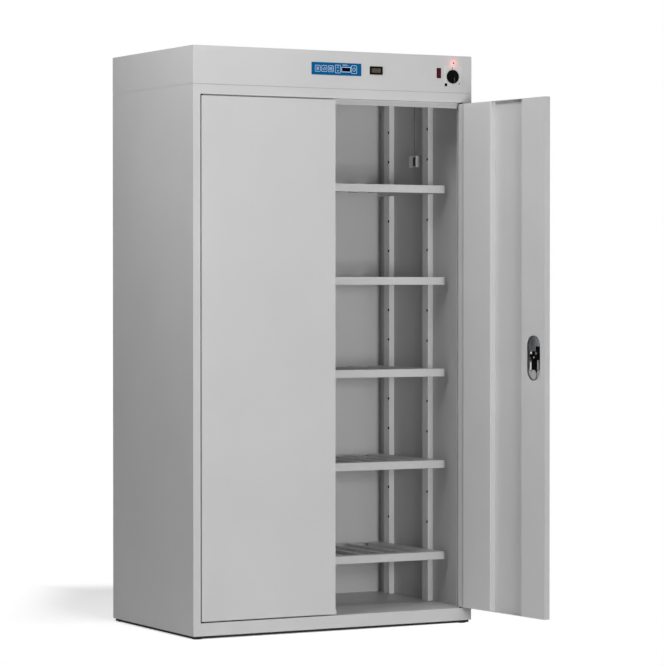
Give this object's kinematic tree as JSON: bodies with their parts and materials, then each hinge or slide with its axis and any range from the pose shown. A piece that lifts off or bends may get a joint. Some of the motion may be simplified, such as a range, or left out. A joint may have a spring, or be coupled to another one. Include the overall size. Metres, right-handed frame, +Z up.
{
  "type": "drying cabinet",
  "caption": "Two-door sheet-steel drying cabinet with slatted shelves, warm-air header with keypad, hour meter, switch and thermostat knob, right door open.",
  "frame": {"origin": "on the floor under the middle of the cabinet's base", "axes": "+X to the right and -Y out of the front as seen by someone facing the doors, +Z up"},
  "size_m": [1.0169, 1.0747, 1.835],
  "materials": {
    "grey_coated_steel": "fine satin powder coat, light grey",
    "zinc_steel": "bright zinc plate",
    "galvanised_steel": "galvanised sheet",
    "dark_chrome": "polished",
    "cast_motor": "cast, matt",
    "heater_steel": "heat-toned stainless tube",
    "circuit_board": "solder mask",
    "blue_film": "printed keypad film",
    "dial_film": "printed label film",
    "black_plastic": "moulded, fine grain",
    "red_plastic": "moulded",
    "red_lens": "lit lens",
    "cream_plastic": "moulded",
    "black_rubber": "matt"
  },
  "bodies": {
    "cabinet": {"feet": "black_rubber", "plinth_band": "black_rubber", "base_frame": "grey_coated_steel", "left_side_panel": "grey_coated_steel", "right_side_panel": "grey_coated_steel", "back_panel": "grey_coated_steel", "floor_panel": "grey_coated_steel", "bottom_rail": "grey_coated_steel", "top_rail": "grey_coated_steel", "left_jamb": "grey_coated_steel", "right_jamb": "grey_coated_steel", "door_stops": "grey_coated_steel", "ceiling_panel": "grey_coated_steel", "header_front": "grey_coated_steel", "header_left_side": "grey_coated_steel", "header_right_side": "grey_coated_steel", "header_lid": "grey_coated_steel", "header_back": "grey_coated_steel", "left_posts": "grey_coated_steel", "right_posts": "grey_coated_steel", "shelf_1": "grey_coated_steel", "shelf_2": "grey_coated_steel", "shelf_3": "grey_coated_steel", "shelf_4": "grey_coated_steel", "shelf_5": "grey_coated_steel", "shelf_screws": "zinc_steel", "probe_guard": "grey_coated_steel", "probe_bulb": "zinc_steel", "fan_housing": "galvanised_steel", "fan_motor": "cast_motor", "heater_element": "heater_steel", "control_board": "circuit_board", "keypad_membrane": "blue_film", "hour_meter": "black_plastic", "rocker_bezel": "black_plastic", "thermostat_body": "cream_plastic", "dial_plate": "dial_film", "pilot_lamp": "red_lens", "cable_gland": "black_plastic", "hinge_pins": "zinc_steel"},
    "fan_wheel": {"impeller": "black_plastic"},
    "switch_rocker": {"rocker": "red_plastic"},
    "thermostat_knob": {"knob": "black_plastic"},
    "key_1": {"key_1": "blue_film"},
    "key_2": {"key_2": "blue_film"},
    "key_3": {"key_3": "blue_film"},
    "key_4": {"key_4": "blue_film"},
    "key_5": {"key_5": "blue_film"},
    "left_door": {"left_door_pan": "grey_coated_steel", "left_hinge_stiffener": "grey_coated_steel", "left_meeting_stiffener": "grey_coated_steel"},
    "left_top_bolt": {"left_top_bolt": "zinc_steel"},
    "left_bottom_bolt": {"left_bottom_bolt": "zinc_steel"},
    "right_door": {"right_door_pan": "grey_coated_steel", "right_hinge_stiffener": "grey_coated_steel", "right_lock_stiffener": "grey_coated_steel", "lock_dish": "dark_chrome"},
    "lock_handle": {"lock_handle": "dark_chrome"},
    "upper_rod": {"upper_rod": "zinc_steel"},
    "lower_rod": {"lower_rod": "zinc_steel"}
  },
  "joints": [
    {"name": "right_door_swing", "type": "hinge", "parent": "cabinet", "child": "right_door", "pos_m": [0.466, -0.294, 0.05], "axis": [0, 0, 1], "range_deg": [-94.5, 15.5]},
    {"name": "left_door_swing", "type": "hinge", "parent": "cabinet", "child": "left_door", "pos_m": [-0.466, -0.294, 0.05], "axis": [0, 0, -1], "range_deg": [0, 110]},
    {"name": "lock_turn", "type": "hinge", "parent": "right_door", "child": "lock_handle", "pos_m": [0.50391, -0.69927, 0.868], "axis": [0.9969, 0.0785, 0], "range_deg": [0, 90]},
    {"name": "upper_rod_slide", "type": "slide", "parent": "right_door", "child": "upper_rod", "axis": [0, 0, 1], "range_m": [0, 0.013]},
    {"name": "lower_rod_slide", "type": "slide", "parent": "right_door", "child": "lower_rod", "axis": [0, 0, -1], "range_m": [0, 0.013]},
    {"name": "left_top_bolt_slide", "type": "slide", "parent": "left_door", "child": "left_top_bolt", "axis": [0, 0, 1], "range_m": [0, 0.013]},
    {"name": "left_bottom_bolt_slide", "type": "slide", "parent": "left_door", "child": "left_bottom_bolt", "axis": [0, 0, -1], "range_m": [0, 0.013]},
    {"name": "fan_spin", "type": "hinge", "parent": "cabinet", "child": "fan_wheel", "pos_m": [-0.12, 0.06, 1.74], "axis": [0, 0, 1], "continuous": true},
    {"name": "switch_rock", "type": "hinge", "parent": "cabinet", "child": "switch_rocker", "pos_m": [0.3772, -0.3, 1.77775], "axis": [1, 0, 0], "range_deg": [0, 12]},
    {"name": "knob_turn", "type": "hinge", "parent": "cabinet", "child": "thermostat_knob", "pos_m": [0.428, -0.307, 1.7676], "axis": [0, 1, 0], "range_deg": [-135, 135]},
    {"name": "key_1_press", "type": "slide", "parent": "cabinet", "child": "key_1", "axis": [0, 1, 0], "range_m": [0, 0.0006], "stiffness_N_per_m": 500},
    {"name": "key_2_press", "type": "slide", "parent": "cabinet", "child": "key_2", "axis": [0, 1, 0], "range_m": [0, 0.0006], "stiffness_N_per_m": 500},
    {"name": "key_3_press", "type": "slide", "parent": "cabinet", "child": "key_3", "axis": [0, 1, 0], "range_m": [0, 0.0006], "stiffness_N_per_m": 500},
    {"name": "key_4_press", "type": "slide", "parent": "cabinet", "child": "key_4", "axis": [0, 1, 0], "range_m": [0, 0.0006], "stiffness_N_per_m": 500},
    {"name": "key_5_press", "type": "slide", "parent": "cabinet", "child": "key_5", "axis": [0, 1, 0], "range_m": [0, 0.0006], "stiffness_N_per_m": 500}
  ],
  "couplings": [
    {"joint": "upper_rod_slide", "follows": "lock_turn", "m_per_rad": 0.008276},
    {"joint": "lower_rod_slide", "follows": "lock_turn", "m_per_rad": 0.008276}
  ]
}
